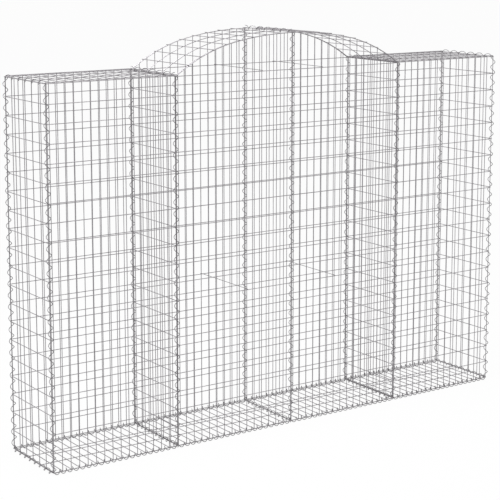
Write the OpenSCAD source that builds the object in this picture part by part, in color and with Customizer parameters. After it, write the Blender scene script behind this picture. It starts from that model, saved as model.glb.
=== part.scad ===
// Arched gabion basket: an empty cage of welded wire panels, four bays long,
// laced together with wire spirals, with an arched lid over the two middle bays.
// Millimetres, +Z up, +X along the wall, -Y the front, origin at the middle of the footprint.

/* [Basket] */
// Length of one bay, between two lacing lines
bay_length = 750; // [400:10:1000]
// Depth between the front and back lacing lines
basket_depth = 465; // [350:5:800]
// Height of the flat lids above the floor
end_height = 2000; // [1000:50:2400]
// Rise of the arched top above the flat lids
arch_rise = 200; // [120:10:300]

/* [Mesh] */
// Diameter of the mesh wire
mesh_wire = 4; // [3:0.1:4.5]
// Nominal gap between upright wires of the front and back
upright_gap = 50; // [45:1:100]
// Nominal gap between level wires of the walls
row_gap = 100; // [90:5:150]
// Nominal gap between upright wires of the ends and dividers
end_gap = 75; // [65:1:100]
// Nominal gap between cross wires of the arched lid, along the arch
lid_gap = 85; // [50:5:120]
// Depth that a weld presses two crossing wires into each other
weld_depth = 0.6; // [0.4:0.1:0.8]

/* [Lacing] */
// Diameter of the spiral wire
spiral_wire = 3; // [2:0.1:3.5]
// Clearance between the wire ends of two panels that meet at a lacing line
panel_gap = 0.3; // [0.2:0.05:0.4]
// Clearance between a spiral and the edge wire that it holds
seat_gap = 0.5; // [0.4:0.05:0.7]
// Distance that spirals stay away from the corners where lacing lines meet
corner_gap = 24; // [22:1:40]

/* [Ties] */
// Diameter of the tie wire
tie_wire = 3; // [2:0.1:3.5]
// Uprights from the middle seam to a lower tie
low_tie_upright = 6; // [2:1:8]
// Uprights from the middle seam to an upper tie, which lies on the top level wire
high_tie_upright = 4; // [2:1:8]
// Level wire that the lower ties lie on, counted from the floor
low_tie_level = 8; // [2:1:12]

/* [Hidden] */
PANELS = ["front_left_panel", "front_mid_left_panel", "front_mid_right_panel", "front_right_panel",
          "back_left_panel", "back_mid_left_panel", "back_mid_right_panel", "back_right_panel",
          "left_end_panel", "right_end_panel", "left_divider", "right_divider",
          "floor_left", "floor_mid_left", "floor_mid_right", "floor_right",
          "left_lid", "right_lid", "arch_lid_left", "arch_lid_right"];
SPIRALS = ["spiral_front_left_corner", "spiral_front_left_divider", "spiral_front_seam",
           "spiral_front_right_divider", "spiral_front_right_corner",
           "spiral_back_left_corner", "spiral_back_left_divider", "spiral_back_seam",
           "spiral_back_right_divider", "spiral_back_right_corner",
           "bottom_front_spirals", "bottom_back_spirals",
           "floor_left_end_spiral", "floor_left_divider_spiral", "floor_seam_spiral",
           "floor_right_divider_spiral", "floor_right_end_spiral",
           "left_lid_end_spiral", "left_lid_divider_spiral", "arch_lid_seam_spiral",
           "right_lid_divider_spiral", "right_lid_end_spiral"];

zinc = "#9fa3a6";
dull_zinc = "#8d9194";

// A six-sided bar with the same section area as the round wire
bar_sides = 6;
flats_on = 180 / bar_sides;
bar_d = mesh_wire * sqrt(2 * PI / (bar_sides * sin(360 / bar_sides)));
bar_flat = bar_d * cos(flats_on) / 2;
layer = (bar_d - weld_depth) / 2;
overrun = bar_d / 4;
// Distance from a lacing line to the edge wire of each panel that meets there
edge_gap = layer + bar_d / 2 + overrun + panel_gap;

half_depth = basket_depth / 2;
panel_w = bay_length - 2 * edge_gap;
panel_h = end_height - 2 * edge_gap;
cross_w = basket_depth - 2 * edge_gap;
columns = round(panel_w / upright_gap);
rows = round(panel_h / row_gap);
strips = round(cross_w / end_gap / 2);
end_columns = 2 * strips;
column_step = panel_w / columns;
row_step = panel_h / rows;
end_step = cross_w / end_columns;

// Each spiral makes a whole number of turns between two wires that it passes
upright_pitch = row_step / 2;
long_pitch = column_step;
cross_pitch = end_step / 2;
// Two bent wires that join differ by this much in diameter, so that one's end lies inside the other's
ring_step = 0.08;
reach = edge_gap + bar_flat + seat_gap + spiral_wire / 2;
// Where a panel is held by the spiral's passes, they lie midway between its wires
midway = 0.5;
// Where panels on two sides are held, the passes on each side lie a quarter of the way
quarter = 0.25;
// Turns of a spiral across the basket that face its passes each way
rightward = 0;
leftward = 180;
upward = -90;
downward = 90;
function ring_radius(pitch) = norm([reach, pitch / 4]);

floor_z = ring_radius(long_pitch) + spiral_wire / 2;
lid_z = floor_z + end_height;
apex_z = lid_z + arch_rise;

// The arched lid's line: a flat crown over the inner half of each bay, then a tighter haunch
crown_half = bay_length / 2;
// Share of the rise that the crown drops before the haunch starts
crown_share = 0.185;
crown_drop = crown_share * arch_rise;
crown_r = (crown_half ^ 2 + crown_drop ^ 2) / (2 * crown_drop);
crown_angle = asin(crown_half / crown_r);
crown_z = apex_z - crown_r;
haunch_run = bay_length - crown_half;
haunch_drop = arch_rise - crown_drop;
chord_angle = atan2(haunch_drop, haunch_run);
haunch_r = norm([haunch_run, haunch_drop]) / (2 * sin(chord_angle - crown_angle));
haunch_x = (crown_r - haunch_r) * sin(crown_angle);
haunch_z = crown_z + (crown_r - haunch_r) * cos(crown_angle);
foot_angle = 2 * chord_angle - crown_angle;
crown_arc = crown_r * crown_angle * PI / 180;
arch_arc = crown_arc + haunch_r * (foot_angle - crown_angle) * PI / 180;
// Angle that the haunch's wire reaches into the end of the crown's
nest_angle = 0.2;

// How far outside the arch's line its wires lie
rest_gap = 0.3;
edge_out = -edge_gap;
lid_cross_out = edge_out + bar_flat + rest_gap + bar_d / 2;
lid_arc_out = lid_cross_out - 2 * layer;
lid_w = arch_arc - 2 * edge_gap;
lid_columns = round(lid_w / lid_gap);
lid_step = lid_w / lid_columns;
lid_overhang = layer + bar_d;
// Distance from the front and back to the lid's outer arcs, which lie inside the arched edges
lid_edge = layer + bar_d / 2 + rest_gap + bar_flat;
lid_strip = (basket_depth - 2 * lid_edge) / strips;
// Angle from the apex at this length along the arch's line
function arch_turn(along) =
  along < crown_arc ? along / crown_r * 180 / PI : crown_angle + (along - crown_arc) / haunch_r * 180 / PI;
// Height of the arched edge wire at this distance from the middle seam
function arch_height(x) =
  x < (crown_r + edge_out) * sin(crown_angle) ? crown_z + sqrt((crown_r + edge_out) ^ 2 - x ^ 2)
  : haunch_z + sqrt((haunch_r + edge_out) ^ 2 - (x - haunch_x) ^ 2);

tie_ring_r = bar_d / 2 + rest_gap + tie_wire / 2;

// One straight mesh wire along +Z, turned so that its corners or its flats face its neighbours
module bar(length, turn) {
  rotate(turn) cylinder(h = length, d = bar_d, $fn = bar_sides);
}

// One bent mesh wire in the XZ plane, between two angles from +Z towards +X
module arc_bar(radius, from, to, d, turn) {
  rotate([90, 0, 0]) rotate(90 - to) rotate_extrude(angle = to - from, $fn = 180)
    translate([radius, 0]) rotate(turn) circle(d = d, $fn = bar_sides);
}

// One wire along the right half of the arch, this far outside its line
module arched_wire(out, from, to, turn) {
  translate([0, 0, crown_z]) arc_bar(crown_r + out, from, crown_angle, bar_d, turn);
  translate([haunch_x, 0, haunch_z])
    arc_bar(haunch_r + out, crown_angle - nest_angle, to, bar_d - ring_step, turn);
}

// Uprights of a flat panel, standing on the XY plane's X axis
module uprights(width, height, count) {
  for (i = [0:count])
    translate([i * width / count, -overrun, -layer]) rotate([-90, 0, 0]) bar(height + 2 * overrun, flats_on);
}

// Level wires of a flat panel, welded across its uprights
module levels(width, height, count) {
  for (j = [0:count])
    translate([-overrun, j * height / count, layer]) rotate([0, 90, 0]) bar(width + 2 * overrun, 0);
}

module flat_panel(width, height, across, up) {
  uprights(width, height, across);
  levels(width, height, up);
}

// Places a panel drawn in the XY plane in the front wall, with its level wires outside
module in_front(bay) {
  translate([bay * bay_length + edge_gap, -half_depth, floor_z + edge_gap]) rotate([90, 0, 0]) children();
}

module wall_panel(bay) {
  color(zinc) in_front(bay) flat_panel(panel_w, panel_h, columns, rows);
}

// Panel of the bay to the right of the middle seam, under the arch
module arched_panel() {
  color(zinc) {
    in_front(0) {
      levels(panel_w, panel_h, rows);
      for (i = [0:columns]) {
        tall = arch_height(edge_gap + i * column_step) - floor_z - edge_gap;
        translate([i * column_step, -overrun, -layer]) rotate([-90, 0, 0]) bar(tall + 2 * overrun, flats_on);
      }
    }
    translate([0, -half_depth - layer, 0])
      arched_wire(edge_out, asin((edge_gap - overrun) / (crown_r + edge_out)),
                  asin((bay_length - edge_gap + overrun - haunch_x) / (haunch_r + edge_out)), flats_on);
  }
}

// A panel across the basket at one lacing line, with its level wires on the left
module cross_panel(x) {
  color(zinc) translate([x, half_depth - edge_gap, floor_z + edge_gap]) rotate([90, 0, -90])
    flat_panel(cross_w, panel_h, end_columns, rows);
}

// A floor panel, with its long wires underneath
module floor_panel(bay) {
  color(zinc) translate([bay * bay_length + edge_gap, half_depth - edge_gap, floor_z]) rotate([180, 0, 0])
    flat_panel(panel_w, cross_w, columns, strips);
}

// A flat lid, with its long wires on top
module lid_panel(bay) {
  color(zinc) translate([bay * bay_length + edge_gap, edge_gap - half_depth, lid_z])
    flat_panel(panel_w, cross_w, columns, strips);
}

// The right half of the arched lid: arcs welded under cross wires that lie on both arched edges
module arched_lid() {
  color(zinc) {
    for (i = [0:lid_columns]) {
      turn = arch_turn(edge_gap + i * lid_step);
      crowned = turn < crown_angle;
      translate([crowned ? 0 : haunch_x, half_depth + lid_overhang, crowned ? crown_z : haunch_z])
        rotate([0, turn, 0]) translate([0, 0, (crowned ? crown_r : haunch_r) + lid_cross_out])
          rotate([90, 0, 0]) bar(basket_depth + 2 * lid_overhang, flats_on);
    }
    for (j = [0:strips])
      translate([0, lid_edge - half_depth + j * lid_strip, 0])
        arched_wire(lid_arc_out, arch_turn(edge_gap - overrun), arch_turn(arch_arc - edge_gap + overrun), 0);
  }
}

// A lacing spiral along +Z: each half turn is half a ring, leaning the other way from the one below.
// It passes +X every turn, at the height of its start and one pitch further on each time.
module spiral(half_turns, pitch) {
  rise = pitch / 2;
  ring = ring_radius(pitch);
  lean = atan2(rise / 2, reach);
  color(dull_zinc)
    for (k = [0:half_turns - 1])
      translate([0, 0, (k + 0.5) * rise]) rotate(k % 2 * 180) rotate([0, lean, 0])
        rotate_extrude(angle = 180, $fn = 36)
          translate([ring, 0]) circle(d = spiral_wire - k % 2 * ring_step, $fn = 24);
}

// A spiral along a lacing line of this length. Its first pass is this share of a pitch beyond a mesh wire.
module lacing(length, pitch, share) {
  skip = ceil((corner_gap - edge_gap) / pitch - share);
  start = edge_gap + (skip + share) * pitch;
  half_turns = floor((length - corner_gap - start) / (pitch / 2));
  translate([0, 0, start]) spiral(half_turns, pitch);
}

module upright_lacing(x) {
  translate([x, -half_depth, floor_z]) rotate(90) lacing(end_height, upright_pitch, midway);
}

module seam_lacing() {
  translate([0, -half_depth, floor_z]) lacing(end_height + arch_rise, upright_pitch, quarter);
}

module bottom_lacing() {
  for (bay = [-2:1])
    translate([bay * bay_length, -half_depth, floor_z]) rotate([0, 90, 0]) rotate(90)
      lacing(bay_length, long_pitch, midway);
}

// A spiral across the basket, turned about its lacing line to face its passes at the wire that it holds
module cross_lacing(x, z, turn, share) {
  translate([x, -half_depth, z]) rotate([-90, 0, 0]) rotate(turn) lacing(basket_depth, cross_pitch, share);
}

// Two tie wires, each looped round one upright of the front and the same upright of the back
module ties(upright, level) {
  x = edge_gap + min(upright, columns - 1) * column_step;
  y = half_depth - layer;
  z = floor_z + edge_gap + level * row_step + bar_flat + rest_gap + tie_wire / 2;
  color(dull_zinc)
    for (side = [-1, 1]) translate([side * x, 0, z]) {
      for (end = [-1, 1]) translate([0, end * y, 0])
        rotate_extrude($fn = 36) translate([tie_ring_r, 0]) circle(d = tie_wire, $fn = 24);
      translate([0, y - tie_ring_r, 0]) rotate([90, 0, 0])
        rotate(flats_on) cylinder(h = 2 * (y - tie_ring_r), d = tie_wire, $fn = bar_sides);
    }
}

module back() { mirror([0, 1, 0]) children(); }
module left() { mirror([1, 0, 0]) children(); }

wall_panel(-2);  // front_left_panel
left() arched_panel();  // front_mid_left_panel
arched_panel();  // front_mid_right_panel
wall_panel(1);  // front_right_panel
back() wall_panel(-2);  // back_left_panel
back() left() arched_panel();  // back_mid_left_panel
back() arched_panel();  // back_mid_right_panel
back() wall_panel(1);  // back_right_panel
cross_panel(-2 * bay_length);  // left_end_panel
left() cross_panel(-2 * bay_length);  // right_end_panel
cross_panel(-bay_length);  // left_divider
left() cross_panel(-bay_length);  // right_divider
floor_panel(-2);  // floor_left
floor_panel(-1);  // floor_mid_left
floor_panel(0);  // floor_mid_right
floor_panel(1);  // floor_right
lid_panel(-2);  // left_lid
lid_panel(1);  // right_lid
left() arched_lid();  // arch_lid_left
arched_lid();  // arch_lid_right

upright_lacing(-2 * bay_length);  // spiral_front_left_corner
upright_lacing(-bay_length);  // spiral_front_left_divider
seam_lacing();  // spiral_front_seam
upright_lacing(bay_length);  // spiral_front_right_divider
upright_lacing(2 * bay_length);  // spiral_front_right_corner
back() upright_lacing(-2 * bay_length);  // spiral_back_left_corner
back() upright_lacing(-bay_length);  // spiral_back_left_divider
back() seam_lacing();  // spiral_back_seam
back() upright_lacing(bay_length);  // spiral_back_right_divider
back() upright_lacing(2 * bay_length);  // spiral_back_right_corner
bottom_lacing();  // bottom_front_spirals
back() bottom_lacing();  // bottom_back_spirals
cross_lacing(-2 * bay_length, floor_z, upward, midway);  // floor_left_end_spiral
cross_lacing(-bay_length, floor_z, upward, midway);  // floor_left_divider_spiral
cross_lacing(0, floor_z, rightward, quarter);  // floor_seam_spiral
cross_lacing(bay_length, floor_z, upward, midway);  // floor_right_divider_spiral
cross_lacing(2 * bay_length, floor_z, upward, midway);  // floor_right_end_spiral
cross_lacing(-2 * bay_length, lid_z, rightward, midway);  // left_lid_end_spiral
cross_lacing(-bay_length, lid_z, downward, midway);  // left_lid_divider_spiral
cross_lacing(0, apex_z, rightward, quarter);  // arch_lid_seam_spiral
cross_lacing(bay_length, lid_z, downward, midway);  // right_lid_divider_spiral
cross_lacing(2 * bay_length, lid_z, leftward, midway);  // right_lid_end_spiral
ties(low_tie_upright, min(low_tie_level, rows - 1));  // lower_ties
ties(high_tie_upright, rows);  // upper_ties
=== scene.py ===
import math
import bmesh
import bpy
from mathutils import Matrix, Vector


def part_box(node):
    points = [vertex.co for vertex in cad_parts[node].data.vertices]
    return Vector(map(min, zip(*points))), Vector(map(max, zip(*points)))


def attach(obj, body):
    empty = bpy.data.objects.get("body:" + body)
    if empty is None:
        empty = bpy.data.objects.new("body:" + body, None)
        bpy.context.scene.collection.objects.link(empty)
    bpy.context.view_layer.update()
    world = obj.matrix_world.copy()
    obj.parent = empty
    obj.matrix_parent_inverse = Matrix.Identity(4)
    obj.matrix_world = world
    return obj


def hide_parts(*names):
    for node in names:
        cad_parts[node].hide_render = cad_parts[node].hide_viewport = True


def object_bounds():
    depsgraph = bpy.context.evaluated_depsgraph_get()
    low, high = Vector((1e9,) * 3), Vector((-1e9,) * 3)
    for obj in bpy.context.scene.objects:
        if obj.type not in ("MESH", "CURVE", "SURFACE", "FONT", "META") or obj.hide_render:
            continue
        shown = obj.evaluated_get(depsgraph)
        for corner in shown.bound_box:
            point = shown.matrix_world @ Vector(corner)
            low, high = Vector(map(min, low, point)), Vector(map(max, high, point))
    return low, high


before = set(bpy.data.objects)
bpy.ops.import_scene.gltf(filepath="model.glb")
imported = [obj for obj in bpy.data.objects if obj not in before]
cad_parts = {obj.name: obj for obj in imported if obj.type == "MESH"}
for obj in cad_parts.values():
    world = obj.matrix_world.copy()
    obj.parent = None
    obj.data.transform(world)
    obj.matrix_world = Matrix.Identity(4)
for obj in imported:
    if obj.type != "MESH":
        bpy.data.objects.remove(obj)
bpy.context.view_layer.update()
print("frame loaded,", len(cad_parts), "nodes")


def middle(node, axis):
    low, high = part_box(node)
    return (low[axis] + high[axis]) / 2


axisX, axisY, axisZ = 0, 1, 2
bay = middle("right_divider", axisX)               # one lacing line to the next
halfDepth = middle("back_left_panel", axisY)
floorZ, lidZ = middle("floor_left", axisZ), middle("left_lid", axisZ)

mesh = {
    "wire": 0.004,                                 # diameter
    "sides": 10,
    "inset": 0.0019,                               # panel's box to the middle of its edge wire
    "layer": 0.0019,                               # panel's plane to the middle of either layer of wires
    "overrun": 0.0011,                             # cut end past the middle of the edge wire
    "chamfer": 0.0004,                             # on the cut ends
    "weld": (0.0026, 0.0026, 0.0013),              # half sizes of a weld's flash
    "weldSides": 8, "weldRings": 4,
    "columns": 15, "rows": 20,                     # front and back
    "endColumns": 6,                               # ends and cross walls
    "strips": 3,                                   # floor and lids
    "closeUp": 0.0027,                             # nearer the lacing line, for edge wires with room
    "softAngle": 0.76,                             # sharper edges than this are shaded sharp
}


class Wire:                                        # a shader socket that takes part in sums
    def __init__(self, tree, socket=None):
        self.tree, self.socket = tree, socket

    def node(self, kind, settings=None, inputs=None, output=0):
        made = self.tree.nodes.new(kind)
        for name, value in (settings or {}).items():
            setattr(made, name, value)
        for key, value in (inputs or {}).items():
            if isinstance(value, Wire):
                self.tree.links.new(value.socket, made.inputs[key])
            else:
                made.inputs[key].default_value = value
        return Wire(self.tree, made.outputs[output])

    def maths(self, operation, first, second):
        return self.node("ShaderNodeMath", {"operation": operation}, {0: first, 1: second})

    def __add__(self, other): return self.maths("ADD", self, other)
    def __radd__(self, other): return self.maths("ADD", other, self)
    def __mul__(self, other): return self.maths("MULTIPLY", self, other)
    def __rmul__(self, other): return self.maths("MULTIPLY", other, self)


meshZinc = {
    "dark": (0.220, 0.210, 0.222, 1), "pale": (0.370, 0.354, 0.373, 1), "bloom": (0.50, 0.482, 0.50, 1),
    "spangle": 120,                                # scale of the zinc's crystals
    "grain": (720, 3), "streak": (16, 4), "patch": (7, 5),                # scale and detail of each noise
    "spangleShare": 0.45, "streakShare": 0.30, "grainShare": 0.25,        # in the zinc's tone
    "bloomFrom": 0.52, "bloomFull": 0.72, "bloomShare": 0.45,             # dry white bloom
    "metallic": 0.55,
    "smooth": 0.32, "rough": 0.54, "streakRough": 0.6, "bloomRough": 0.4,
    "bump": 0.00012, "grainBump": 0.6, "spangleBump": 0.4,
}
spiralZinc = dict(meshZinc, dark=(0.111, 0.106, 0.113, 1), pale=(0.218, 0.209, 0.221, 1),
                  bloomShare=0.25, smooth=0.34, rough=0.56)
weldZinc = dict(meshZinc, dark=(0.150, 0.143, 0.152, 1), pale=(0.255, 0.244, 0.258, 1),
                smooth=0.55, rough=0.75)


def galvanised(name, look):
    made = bpy.data.materials.new(name)
    made.use_nodes = True
    tree = made.node_tree
    wire = Wire(tree)
    place = wire.node("ShaderNodeTexCoord", output="Object")

    def noise(kind):
        scale, detail = look[kind]
        return wire.node("ShaderNodeTexNoise", None,
                         {"Vector": place, "Scale": scale, "Detail": detail}, "Fac")

    def blend(share, first, second):               # 6, 7 and 2 are the Mix node's colour sockets
        return wire.node("ShaderNodeMix", {"data_type": "RGBA"}, {"Factor": share, 6: first, 7: second}, 2)

    cells = wire.node("ShaderNodeTexVoronoi", {"feature": "F1"},
                      {"Vector": place, "Scale": look["spangle"]}, "Color")
    spangle = wire.node("ShaderNodeSeparateColor", None, {"Color": cells}, "Red")
    grain, streak = noise("grain"), noise("streak")
    limits = {"From Min": look["bloomFrom"], "From Max": look["bloomFull"]}
    bloom = wire.node("ShaderNodeMapRange", {"interpolation_type": "SMOOTHSTEP"},
                      {"Value": noise("patch"), **limits})
    bloom = bloom * look["bloomShare"]
    tone = look["spangleShare"] * spangle + look["streakShare"] * streak + look["grainShare"] * grain
    colour = blend(bloom, blend(tone, look["dark"], look["pale"]), look["bloom"])
    dull = look["streakRough"] * streak + look["bloomRough"] * bloom
    rough = look["smooth"] + (look["rough"] - look["smooth"]) * dull
    height = look["grainBump"] * grain + look["spangleBump"] * spangle
    bump = wire.node("ShaderNodeBump", None, {"Height": height, "Distance": look["bump"]}, "Normal")
    shader = tree.nodes["Principled BSDF"]
    tree.links.new(colour.socket, shader.inputs["Base Color"])
    tree.links.new(rough.socket, shader.inputs["Roughness"])
    tree.links.new(bump.socket, shader.inputs["Normal"])
    shader.inputs["Metallic"].default_value = look["metallic"]
    return made


zincOfMesh = galvanised("galvanisedMesh", meshZinc)
zincOfWelds = galvanised("galvanisedWelds", weldZinc)
zincOfSpirals = galvanised("galvanisedSpirals", spiralZinc)
print("zinc finishes made")


def facing(direction):
    return direction.to_track_quat("Z", "Y").to_matrix().to_4x4()


def spread(first, last, count):
    return [first + (last - first) * i / count for i in range(count + 1)]


def kept(bm, name):
    data = bpy.data.meshes.new(name)
    bm.to_mesh(data)
    bm.free()
    return data


def linked(name, data):
    made = bpy.data.objects.new(name, data)
    bpy.context.scene.collection.objects.link(made)
    return made


def stamp(bm, data, place):                        # a copy of a small shape, at this place
    data.transform(place)
    bm.from_mesh(data)
    data.transform(place.inverted())


def cutWire(length):
    bm = bmesh.new()
    half = mesh["wire"] / 2
    bmesh.ops.create_cone(bm, cap_ends=True, segments=mesh["sides"],
                          radius1=half, radius2=half, depth=length)
    rims = [edge for edge in bm.edges if edge.calc_length() < mesh["wire"]]
    bmesh.ops.bevel(bm, geom=rims, offset=mesh["chamfer"], segments=1, profile=0.5,
                    affect="EDGES", material=-1)
    return kept(bm, "cutWire")


def straightWires(bm, runs):                       # all as long as the first
    first, last = runs[0]
    data = cutWire((last - first).length)
    for start, end in runs:
        stamp(bm, data, Matrix.Translation((start + end) / 2) @ facing(end - start))
    bpy.data.meshes.remove(data)


def sweepStart(bm, spot, direction, thick, sides):
    place = Matrix.Translation(spot) @ facing(direction)
    ring = bmesh.ops.create_circle(bm, segments=sides, radius=thick / 2, matrix=place)
    return ring["verts"] + list({edge for vert in ring["verts"] for edge in vert.link_edges})


def closeEnds(bm):
    bmesh.ops.holes_fill(bm, edges=[edge for edge in bm.edges if edge.is_boundary], sides=0)


def flashOfWeld():
    bm = bmesh.new()
    bmesh.ops.create_uvsphere(bm, u_segments=mesh["weldSides"], v_segments=mesh["weldRings"], radius=1,
                              matrix=Matrix.Diagonal((*mesh["weld"], 1)))
    for face in bm.faces:
        face.material_index = 1                    # the welds' finish
    return kept(bm, "weldFlash")


weldFlash = flashOfWeld()


def finishPiece(bm, name, node, finishes):
    bmesh.ops.recalc_face_normals(bm, faces=bm.faces)
    for face in bm.faces:
        face.smooth = True
    for edge in bm.edges:
        edge.smooth = edge.calc_face_angle(0) < mesh["softAngle"]
    piece = linked(name, kept(bm, name))
    for finish in finishes:
        piece.data.materials.append(finish)
    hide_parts(node)
    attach(piece, "root")


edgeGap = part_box("front_mid_right_panel")[0][axisX] + mesh["inset"]       # lacing line to an edge wire
arch = {
    "rise": 0.2,                                   # above the flat lids
    "crownShare": 0.185,                           # of the rise: the flat crown's drop over half a bay
    "rest": 0.0004,                                # lid's cross wires over the arched edges
    "lidEdge": 0.0063,                             # front and back to the lid's outer arcs
    "columns": 9,
    "crownSteps": 10, "haunchSteps": 14,
}
apexZ = lidZ + arch["rise"]
crownHalf, crownDrop = bay / 2, arch["crownShare"] * arch["rise"]
crownRadius = (crownHalf ** 2 + crownDrop ** 2) / (2 * crownDrop)
crownAngle = math.asin(crownHalf / crownRadius)
haunchRun, haunchDrop = bay - crownHalf, arch["rise"] - crownDrop
chordAngle = math.atan2(haunchDrop, haunchRun)
haunchRadius = math.hypot(haunchRun, haunchDrop) / (2 * math.sin(chordAngle - crownAngle))
crownCentre = Vector((0, 0, apexZ - crownRadius))
crownEnd = Vector((math.sin(crownAngle), 0, math.cos(crownAngle)))        # direction from either centre
haunchCentre = crownCentre + (crownRadius - haunchRadius) * crownEnd
crownLength = crownRadius * crownAngle
archLength = crownLength + haunchRadius * 2 * (chordAngle - crownAngle)


def archTurn(along):                               # angle from the top, this far along the arch's line
    if along < crownLength:
        return along / crownRadius
    return crownAngle + (along - crownLength) / haunchRadius


def archSpot(turn, out, side):                     # out: distance outside the arch's line
    centre, radius = (crownCentre, crownRadius) if turn < crownAngle else (haunchCentre, haunchRadius)
    spot = centre + (radius + out) * Vector((math.sin(turn), 0, math.cos(turn)))
    return Vector((side * spot.x, 0, spot.z))


def archTop(x):                                    # height of the arched edge wire
    if abs(x) < (crownRadius - edgeGap) * math.sin(crownAngle):
        return crownCentre.z + math.sqrt((crownRadius - edgeGap) ** 2 - x ** 2)
    return haunchCentre.z + math.sqrt((haunchRadius - edgeGap) ** 2 - (abs(x) - haunchCentre.x) ** 2)


def archedWire(bm, y, out, first, last, side):
    start = archSpot(first, out, side) + Vector((0, y, 0))
    lead = Vector((side * math.cos(first), 0, -math.sin(first)))
    ring = sweepStart(bm, start, lead, mesh["wire"], mesh["sides"])
    crown = bmesh.ops.spin(bm, geom=ring, cent=crownCentre, axis=(0, side, 0),
                           angle=crownAngle - first, steps=arch["crownSteps"])
    bmesh.ops.spin(bm, geom=crown["geom_last"], cent=(side * haunchCentre.x, 0, haunchCentre.z),
                   axis=(0, side, 0), angle=last - crownAngle, steps=arch["haunchSteps"])


def meshPanel(node, along, up, outward, columns, rows, arched=False):
    low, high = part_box(node)
    flat = axisX + axisY + axisZ - along - up      # the axis through the panel
    plane = (low[flat] + high[flat]) / 2
    inset, layer, overrun, closeUp = mesh["inset"], mesh["layer"], mesh["overrun"], mesh["closeUp"]

    def spot(a, u, n):
        point = Vector()
        point[along], point[up], point[flat] = a, u, plane + outward * n
        return point

    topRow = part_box("front_left_panel")[1][axisZ] if arched else high[up]
    across = spread(low[along] + inset, high[along] - inset, columns)
    levels = spread(low[up] + inset, topRow - inset, rows)
    outerMiddle = 1.5 * bay                        # an edge wire past this is at the basket's end
    if along == axisX and across[0] > -outerMiddle:
        across[0] -= closeUp
    if along == axisX and across[-1] < outerMiddle:
        across[-1] += closeUp
    if up == axisZ and not node.endswith("divider"):
        levels[0] -= closeUp
        if not arched:
            levels[-1] += closeUp
    bottom = levels[0] - overrun
    bm = bmesh.new()
    if arched:
        near, far = sorted((abs(across[0]), abs(across[-1])))
        first = math.asin((near - overrun) / (crownRadius - edgeGap))
        last = math.asin((far + overrun - haunchCentre.x) / (haunchRadius - edgeGap))
        archedWire(bm, plane + outward * layer, -edgeGap, first, last, math.copysign(1, across[0]))
        closeEnds(bm)
        for a in across:                           # each has its own length
            straightWires(bm, [(spot(a, bottom, -layer), spot(a, archTop(a) + overrun, -layer))])
    else:
        top = levels[-1] + overrun
        straightWires(bm, [(spot(a, bottom, -layer), spot(a, top, -layer)) for a in across])
    start, end = across[0] - overrun, across[-1] + overrun
    straightWires(bm, [(spot(start, u, layer), spot(end, u, layer)) for u in levels])
    turn = facing(spot(0, 0, 1) - spot(0, 0, 0))
    for a in across:
        for u in levels + ([archTop(a)] if arched else []):
            stamp(bm, weldFlash, Matrix.Translation(spot(a, u, 0)) @ turn)
    finishPiece(bm, node + ".wires", node, (zincOfMesh, zincOfWelds))


for face, outward in (("front", -1), ("back", 1)):
    for place in ("left", "right"):
        meshPanel(f"{face}_{place}_panel", axisX, axisZ, outward, mesh["columns"], mesh["rows"])
    for place in ("mid_left", "mid_right"):
        meshPanel(f"{face}_{place}_panel", axisX, axisZ, outward, mesh["columns"], mesh["rows"], True)
for side, outward in (("left", -1), ("right", 1)):
    meshPanel(side + "_end_panel", axisY, axisZ, outward, mesh["endColumns"], mesh["rows"])
    meshPanel(side + "_divider", axisY, axisZ, outward, mesh["endColumns"], mesh["rows"])
    meshPanel("floor_" + side, axisX, axisY, -1, mesh["columns"], mesh["strips"])
    meshPanel("floor_mid_" + side, axisX, axisY, -1, mesh["columns"], mesh["strips"])
    meshPanel(side + "_lid", axisX, axisY, 1, mesh["columns"], mesh["strips"])
print("flat panels made")


def archedLid(node, side):
    low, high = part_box(node)
    crossOut = mesh["wire"] + arch["rest"] - edgeGap
    weldOut, arcOut = crossOut - mesh["layer"], crossOut - 2 * mesh["layer"]
    front, back = Vector((0, low[axisY], 0)), Vector((0, high[axisY], 0))
    first, last = archTurn(edgeGap - mesh["overrun"]), archTurn(archLength - edgeGap + mesh["overrun"])
    bm = bmesh.new()
    arcs = spread(arch["lidEdge"] - halfDepth, halfDepth - arch["lidEdge"], mesh["strips"])
    for y in arcs:
        archedWire(bm, y, arcOut, first, last, side)
    closeEnds(bm)
    turns = [archTurn(along) for along in spread(edgeGap, archLength - edgeGap, arch["columns"])]
    spots = [archSpot(turn, crossOut, side) for turn in turns]
    straightWires(bm, [(spot + front, spot + back) for spot in spots])
    for turn in turns:
        tilt = facing(Vector((side * math.sin(turn), 0, math.cos(turn))))
        for y in arcs:
            spot = archSpot(turn, weldOut, side) + Vector((0, y, 0))
            stamp(bm, weldFlash, Matrix.Translation(spot) @ tilt)
    finishPiece(bm, node + ".wires", node, (zincOfMesh, zincOfWelds))


archedLid("arch_lid_left", -1)
archedLid("arch_lid_right", 1)
print("arched lids made")

lacing = {
    "wire": 0.0035,
    "radius": 0.0125, "crossRadius": 0.0105,       # of the wire's middle
    "sides": 10, "steps": 20,                      # steps in a turn
    "joinWithin": 0.00007,                         # one turn's end to the next one's start
    # lacing line to the middle of the wires in a spiral
    "corner": 0.0037, "wall": 0.0031, "seam": 0.0019, "bottom": 0.0022,
    "floorWall": 0.0015, "lidWall": 0.0040, "apex": 0.0020, "end": 0.0002,
    "uprightTurns": 32, "seamTurns": 40, "bottomTurns": 20,
    "lidTurns": 6, "floorEndTurns": 8, "floorTurns": 12,
}


def oneTurn(radius, pitch, phase):                 # left-handed
    bm = bmesh.new()
    spot = Vector((radius * math.cos(phase), radius * math.sin(phase), 0))
    lead = Vector((math.sin(phase), -math.cos(phase), pitch / (2 * math.pi * radius)))
    ring = sweepStart(bm, spot, lead, lacing["wire"], lacing["sides"])
    steps = lacing["steps"]
    bmesh.ops.spin(bm, geom=ring, axis=(0, 0, 1), angle=-2 * math.pi,
                   dvec=(0, 0, pitch / steps), steps=steps)
    return kept(bm, "oneTurn")


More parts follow.
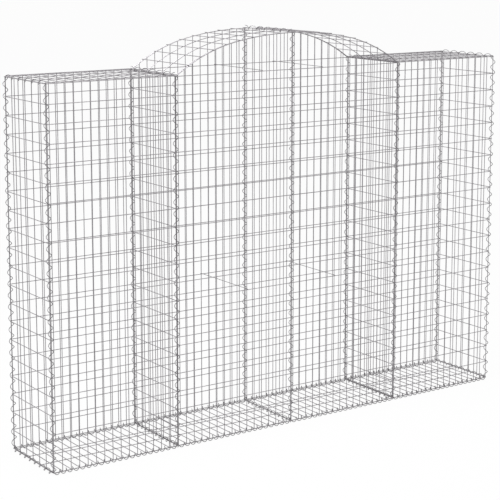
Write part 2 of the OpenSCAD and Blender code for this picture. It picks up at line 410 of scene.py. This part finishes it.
# held: lacing line to the middle of the wires in the spiral, inside: turns start on that side
def spirals(node, runs, turns, radius, held, inside):
    bm = bmesh.new()
    line = Vector(runs[0][1]) - Vector(runs[0][0])
    lie = facing(line)
    begin = lie.inverted() @ (held if inside else -held)
    pitch = (line.length - 2 * edgeGap) / turns
    turn = oneTurn(radius, pitch, math.atan2(begin.y, begin.x))
    for start, _ in runs:
        place = Matrix.Translation(Vector(start) + held) @ lie
        for i in range(turns):
            stamp(bm, turn, place @ Matrix.Translation((0, 0, edgeGap + pitch * i)))
    bmesh.ops.remove_doubles(bm, verts=bm.verts, dist=lacing["joinWithin"])
    closeEnds(bm)
    bpy.data.meshes.remove(turn)
    finishPiece(bm, node + ".wound", node, (zincOfSpirals,))


def uprightSpiral(node, x, y, top, turns, held, inside):
    run = (x * bay, y, floorZ), (x * bay, y, top)
    spirals(node, [run], turns, lacing["radius"], held, inside)


def crossSpiral(node, x, z, turns, held, inside):
    run = (x * bay, -halfDepth, z), (x * bay, halfDepth, z)
    spirals(node, [run], turns, lacing["crossRadius"], held, inside)


for face, y, inward in (("front", -halfDepth, 1), ("back", halfDepth, -1)):
    for place, x, lean in (("left_corner", -2, 1), ("right_corner", 2, -1)):
        uprightSpiral(f"spiral_{face}_{place}", x, y, lidZ, lacing["uprightTurns"],
                      lacing["corner"] * Vector((lean, inward, 0)), True)
    for place, x in (("left_divider", -1), ("right_divider", 1)):
        uprightSpiral(f"spiral_{face}_{place}", x, y, lidZ, lacing["uprightTurns"],
                      lacing["wall"] * Vector((0, inward, 0)), False)
    uprightSpiral(f"spiral_{face}_seam", 0, y, apexZ, lacing["seamTurns"],
                  lacing["seam"] * Vector((0, inward, 0)), False)
    runs = [((x * bay, y, floorZ), ((x + 1) * bay, y, floorZ)) for x in (-2, -1, 0, 1)]
    spirals(f"bottom_{face}_spirals", runs, lacing["bottomTurns"], lacing["radius"],
            lacing["bottom"] * Vector((0, inward, 1)), True)

upward = Vector((0, 0, 1))
for side, x in (("left", -1), ("right", 1)):
    crossSpiral(f"floor_{side}_end_spiral", 2 * x, floorZ, lacing["floorEndTurns"],
                lacing["end"] * Vector((-x, 0, 1)), True)
    crossSpiral(f"floor_{side}_divider_spiral", x, floorZ, lacing["floorTurns"],
                lacing["floorWall"] * upward, False)
    crossSpiral(f"{side}_lid_end_spiral", 2 * x, lidZ, lacing["lidTurns"],
                lacing["end"] * Vector((-x, 0, -1)), True)
    crossSpiral(f"{side}_lid_divider_spiral", x, lidZ, lacing["lidTurns"], lacing["lidWall"] * upward, True)
crossSpiral("floor_seam_spiral", 0, floorZ, lacing["floorTurns"], lacing["floorWall"] * upward, False)
crossSpiral("arch_lid_seam_spiral", 0, apexZ, lacing["lidTurns"], lacing["apex"] * upward, True)
print("spirals wound")

tie = {
    "wire": 0.003, "sides": 10,
    "bend": 0.0040, "hookTurn": math.radians(300), "hookSteps": 14,       # hooks round the uprights
}


def tieWires(node):
    y, z = halfDepth - mesh["layer"], middle(node, axisZ)
    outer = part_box(node)[1][axisX] - tie["bend"] - tie["wire"] / 2
    turn, steps = tie["hookTurn"], tie["hookSteps"]
    bm = bmesh.new()
    for x in (-outer, outer):
        start = Vector((x, -y, z)) + tie["bend"] * Vector((math.cos(turn), -math.sin(turn), 0))
        lead = Vector((math.sin(turn), math.cos(turn), 0))
        ring = sweepStart(bm, start, lead, tie["wire"], tie["sides"])
        hook = bmesh.ops.spin(bm, geom=ring, cent=(x, -y, z), axis=(0, 0, 1), angle=turn, steps=steps)
        reach = bmesh.ops.spin(bm, geom=hook["geom_last"], dvec=(0, 2 * y, 0), axis=(0, 0, 1), steps=1)
        bmesh.ops.spin(bm, geom=reach["geom_last"], cent=(x, y, z), axis=(0, 0, 1), angle=turn, steps=steps)
    closeEnds(bm)
    finishPiece(bm, node + ".hooked", node, (zincOfSpirals,))


tieWires("lower_ties")
tieWires("upper_ties")
print("ties hooked")

studio = {
    "floorSize": 60, "floorTone": (0.76, 0.76, 0.76, 1),
    "floorShow": 0.965, "skyShow": 0.98,           # share of plain white that the camera sees
    "sky": 0.40,
    "keyPlace": (-1.8, -0.6, 6.5), "keyAim": (0, 0, 1), "keySize": 2.6, "keyPower": 440,
}


def plainRays(wire):                               # rays that see the floor and the sky as plain white
    names = ("Is Camera Ray", "Is Glossy Ray", "Is Transmission Ray")
    direct, glossy, through = (wire.node("ShaderNodeLightPath", output=name) for name in names)
    return direct + glossy + through


def whiteFloor():
    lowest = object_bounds()[0][axisZ]                 # the object stands on the floor
    bm = bmesh.new()
    bmesh.ops.create_grid(bm, x_segments=1, y_segments=1, size=studio["floorSize"],
                          matrix=Matrix.Translation((0, 0, lowest)))
    floor = linked("studioFloor", kept(bm, "studioFloor"))
    made = bpy.data.materials.new("floorWhite")
    made.use_nodes = True
    tree = made.node_tree
    wire = Wire(tree)
    matt = wire.node("ShaderNodeBsdfDiffuse", None, {"Color": studio["floorTone"]})
    glow = wire.node("ShaderNodeEmission", None, {"Color": (1, 1, 1, 1), "Strength": 1.0})
    seen = plainRays(wire) * studio["floorShow"]
    both = wire.node("ShaderNodeMixShader", None, {0: seen, 1: matt, 2: glow})
    tree.links.new(both.socket, tree.nodes["Material Output"].inputs["Surface"])
    floor.data.materials.append(made)


def whiteWorld():
    world = bpy.data.worlds.new("studioWorld")
    world.use_nodes = True
    bpy.context.scene.world = world
    tree = world.node_tree
    strength = studio["sky"] + (studio["skyShow"] - studio["sky"]) * plainRays(Wire(tree))
    background = tree.nodes["Background"]
    background.inputs["Color"].default_value = (1, 1, 1, 1)
    tree.links.new(strength.socket, background.inputs["Strength"])


bpy.context.view_layer.update()
whiteFloor()
whiteWorld()
lamp = bpy.data.lights.new("keyLight", "AREA")
lamp.size, lamp.energy = studio["keySize"], studio["keyPower"]
key = linked("keyLight", lamp)
key.location = studio["keyPlace"]
key.rotation_euler = (Vector(studio["keyAim"]) - key.location).to_track_quat("-Z", "Y").to_euler()
print("studio lit")

eye = {
    "place": (-4.8461, -6.8736, 2.7342), "turn": -0.6022, "pitch": -0.1545,
    "lens": 108.52, "sensor": 36.0, "farthest": 200,
    "shift": -0.16,                                # small, so that the other views stay in frame
}
camera = linked("photoCamera", bpy.data.cameras.new("photoCamera"))
camera.location = eye["place"]
camera.rotation_euler = (math.pi / 2 + eye["pitch"], 0, eye["turn"])
camera.data.lens, camera.data.sensor_width = eye["lens"], eye["sensor"]
camera.data.shift_y, camera.data.clip_end = eye["shift"], eye["farthest"]
bpy.context.scene.camera = camera
bpy.context.scene.view_settings.view_transform = "Standard"
print("camera placed")

bpy.context.view_layer.update()
